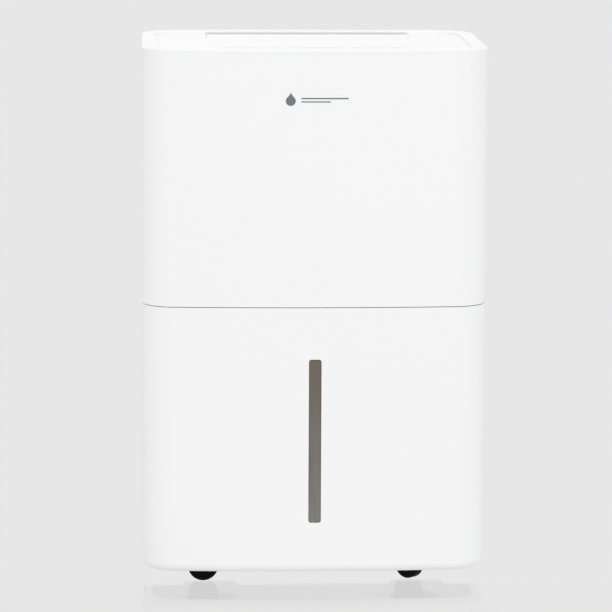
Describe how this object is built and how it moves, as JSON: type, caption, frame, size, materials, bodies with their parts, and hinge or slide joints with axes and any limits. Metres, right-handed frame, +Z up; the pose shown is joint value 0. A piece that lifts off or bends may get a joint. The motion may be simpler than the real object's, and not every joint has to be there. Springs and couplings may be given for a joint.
{
  "type": "dehumidifier",
  "caption": "Upright room dehumidifier with a pull-out front water tank, level window, top air outlet flap, rear filter and swivel casters.",
  "frame": {"origin": "on the floor, under the middle of the casing", "axes": "+Z up, front faces -Y, +X to the right as seen from the front"},
  "size_m": [0.392, 0.29, 0.616],
  "materials": {
    "shell_white": "satin",
    "trim_white": "satin",
    "button_grey": "satin",
    "frame_grey": "matt",
    "smoked_clear": "polished",
    "display_white": "polished",
    "tub_clear": "translucent",
    "handle_grey": "satin",
    "float_white": "matt",
    "filter_grey": "matt",
    "coil_metal": "bright",
    "copper": "drawn",
    "black_enamel": "semi-gloss",
    "rubber_black": "matt",
    "fan_grey": "satin",
    "steel": "bright",
    "board_green": "satin",
    "can_metal": "satin",
    "caster_black": "satin",
    "wheel_black": "satin"
  },
  "bodies": {
    "cabinet": {"rear_housing": "shell_white", "front_housing": "shell_white", "top_cover": "shell_white", "base_pan": "frame_grey", "mid_deck": "frame_grey", "bulkhead": "frame_grey", "left_grip": "trim_white", "right_grip": "trim_white", "housing_screws": "steel", "outlet_vanes": "trim_white", "outlet_duct": "trim_white", "control_panel": "trim_white", "display_window": "display_white", "control_board": "board_green", "tank_switch": "trim_white", "evaporator": "coil_metal", "condenser": "coil_metal", "compressor": "black_enamel", "compressor_feet": "rubber_black", "discharge_pipe": "copper", "suction_pipe": "copper", "capillary_tube": "copper", "filter_drier": "copper", "drain_pan": "trim_white", "drain_hose": "rubber_black", "drain_spout": "trim_white", "fan_scroll": "trim_white", "fan_motor": "black_enamel", "electronics_box": "trim_white", "main_board": "board_green", "run_capacitor": "can_metal", "humidity_sensor": "trim_white", "cord_gland": "rubber_black"},
    "tank": {"tank_front": "shell_white", "tank_window": "smoked_clear", "tank_tub": "tub_clear", "tank_lid": "trim_white"},
    "handle": {"tank_handle": "handle_grey"},
    "float": {"tank_float": "float_white"},
    "flap": {"outlet_flap": "shell_white"},
    "filter": {"intake_grille": "trim_white", "filter_frame": "filter_grey", "filter_mesh": "filter_grey"},
    "fan": {"fan_wheel": "fan_grey", "fan_shaft": "steel"},
    "button_power": {"button_power": "button_grey"},
    "button_mode": {"button_mode": "button_grey"},
    "button_fan": {"button_fan": "button_grey"},
    "button_timer": {"button_timer": "button_grey"},
    "button_down": {"button_down": "button_grey"},
    "button_up": {"button_up": "button_grey"},
    "front_left_fork": {"front_left_fork": "caster_black"},
    "front_left_wheel": {"front_left_wheel": "wheel_black"},
    "front_right_fork": {"front_right_fork": "caster_black"},
    "front_right_wheel": {"front_right_wheel": "wheel_black"},
    "rear_left_fork": {"rear_left_fork": "caster_black"},
    "rear_left_wheel": {"rear_left_wheel": "wheel_black"},
    "rear_right_fork": {"rear_right_fork": "caster_black"},
    "rear_right_wheel": {"rear_right_wheel": "wheel_black"}
  },
  "joints": [
    {"name": "tank_slide", "type": "slide", "parent": "cabinet", "child": "tank", "axis": [0, -1, 0], "range_m": [0, 0.25]},
    {"name": "handle_swing", "type": "hinge", "parent": "tank", "child": "handle", "pos_m": [0, -0.053, 0.271], "axis": [1, 0, 0], "range_deg": [0, 90]},
    {"name": "float_swing", "type": "hinge", "parent": "tank", "child": "float", "pos_m": [-0.1475, -0.03, 0.24], "axis": [1, 0, 0], "range_deg": [0, 12]},
    {"name": "flap_swing", "type": "hinge", "parent": "cabinet", "child": "flap", "pos_m": [0, 0.114, 0.6065], "axis": [-1, 0, 0], "range_deg": [0, 70]},
    {"name": "filter_pull", "type": "slide", "parent": "cabinet", "child": "filter", "axis": [0, 1, 0], "range_m": [0, 0.06]},
    {"name": "fan_spin", "type": "hinge", "parent": "cabinet", "child": "fan", "pos_m": [0, 0.04, 0.4395], "axis": [0, 1, 0], "continuous": true},
    {"name": "button_power_press", "type": "slide", "parent": "cabinet", "child": "button_power", "axis": [0, 0, -1], "range_m": [0, 0.0008], "stiffness_N_per_m": 400, "springref_m": -0.001},
    {"name": "button_mode_press", "type": "slide", "parent": "cabinet", "child": "button_mode", "axis": [0, 0, -1], "range_m": [0, 0.0008], "stiffness_N_per_m": 400, "springref_m": -0.001},
    {"name": "button_fan_press", "type": "slide", "parent": "cabinet", "child": "button_fan", "axis": [0, 0, -1], "range_m": [0, 0.0008], "stiffness_N_per_m": 400, "springref_m": -0.001},
    {"name": "button_timer_press", "type": "slide", "parent": "cabinet", "child": "button_timer", "axis": [0, 0, -1], "range_m": [0, 0.0008], "stiffness_N_per_m": 400, "springref_m": -0.001},
    {"name": "button_down_press", "type": "slide", "parent": "cabinet", "child": "button_down", "axis": [0, 0, -1], "range_m": [0, 0.0008], "stiffness_N_per_m": 400, "springref_m": -0.001},
    {"name": "button_up_press", "type": "slide", "parent": "cabinet", "child": "button_up", "axis": [0, 0, -1], "range_m": [0, 0.0008], "stiffness_N_per_m": 400, "springref_m": -0.001},
    {"name": "front_left_swivel", "type": "hinge", "parent": "cabinet", "child": "front_left_fork", "pos_m": [-0.118, -0.1, 0.038], "axis": [0, 0, 1], "continuous": true},
    {"name": "front_left_roll", "type": "hinge", "parent": "front_left_fork", "child": "front_left_wheel", "pos_m": [-0.1265, -0.1, 0.0175], "axis": [0, -1, 0], "continuous": true},
    {"name": "front_right_swivel", "type": "hinge", "parent": "cabinet", "child": "front_right_fork", "pos_m": [0.118, -0.1, 0.038], "axis": [0, 0, 1], "continuous": true},
    {"name": "front_right_roll", "type": "hinge", "parent": "front_right_fork", "child": "front_right_wheel", "pos_m": [0.11199, -0.09399, 0.0175], "axis": [-0.7071, -0.7071, 0], "continuous": true},
    {"name": "rear_left_swivel", "type": "hinge", "parent": "cabinet", "child": "rear_left_fork", "pos_m": [-0.118, 0.1, 0.038], "axis": [0, 0, 1], "continuous": true},
    {"name": "rear_left_roll", "type": "hinge", "parent": "rear_left_fork", "child": "rear_left_wheel", "pos_m": [-0.1257, 0.09641, 0.0175], "axis": [0.4226, -0.9063, 0], "continuous": true},
    {"name": "rear_right_swivel", "type": "hinge", "parent": "cabinet", "child": "rear_right_fork", "pos_m": [0.118, 0.1, 0.038], "axis": [0, 0, 1], "continuous": true},
    {"name": "rear_right_roll", "type": "hinge", "parent": "rear_right_fork", "child": "rear_right_wheel", "pos_m": [0.11001, 0.10291, 0.0175], "axis": [-0.342, -0.9397, 0], "continuous": true}
  ]
}
